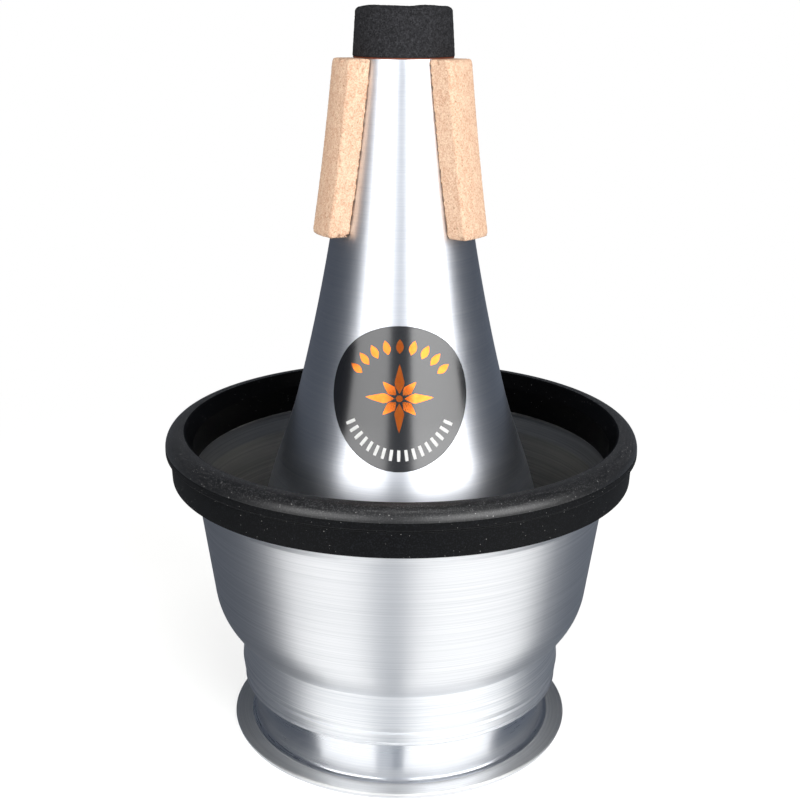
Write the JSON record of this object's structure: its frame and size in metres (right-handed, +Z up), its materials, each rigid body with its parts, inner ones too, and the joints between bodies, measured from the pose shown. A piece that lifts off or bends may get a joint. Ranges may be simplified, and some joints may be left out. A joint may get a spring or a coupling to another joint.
{
  "type": "trumpet cup mute",
  "caption": "Spun aluminium cup mute for a trumpet: flared cone with cork strips and a foam tip, and a rubber-rimmed cup that slides and turns on the mute's skirt.",
  "frame": {"origin": "on the mute's axis, on the surface that it stands on, under the base flange", "axes": "+Z up along the axis from the wide base to the narrow tip, -Y towards the side with the label"},
  "size_m": [0.112, 0.112, 0.1723],
  "materials": {
    "spun_aluminium_body": "satin, turned with fine rings",
    "pressed_aluminium_plate": "dull satin",
    "closed_cell_foam": "matte, finely pitted",
    "agglomerated_cork": "matte, sanded",
    "black_gloss_film": "gloss",
    "spun_aluminium_cup": "satin, turned with fine rings",
    "friction_rubber": "matte",
    "moulded_rubber": "semi-matte"
  },
  "bodies": {
    "mute": {"body_shell": "spun_aluminium_body", "base_plate": "pressed_aluminium_plate", "tip_bumper": "closed_cell_foam", "cork_strip_left": "agglomerated_cork", "cork_strip_right": "agglomerated_cork", "cork_strip_rear": "agglomerated_cork", "label": "black_gloss_film"},
    "grip": {"grip_ring": "friction_rubber"},
    "cup": {"cup_bowl": "spun_aluminium_cup", "rim_bumper": "moulded_rubber"}
  },
  "joints": [
    {"name": "cup_slide", "type": "slide", "parent": "mute", "child": "grip", "axis": [0, 0, 1], "range_m": [-0.01, 0.02]},
    {"name": "cup_turn", "type": "hinge", "parent": "grip", "child": "cup", "pos_m": [0, 0, 0.0185], "axis": [0, 0, 1], "continuous": true}
  ]
}
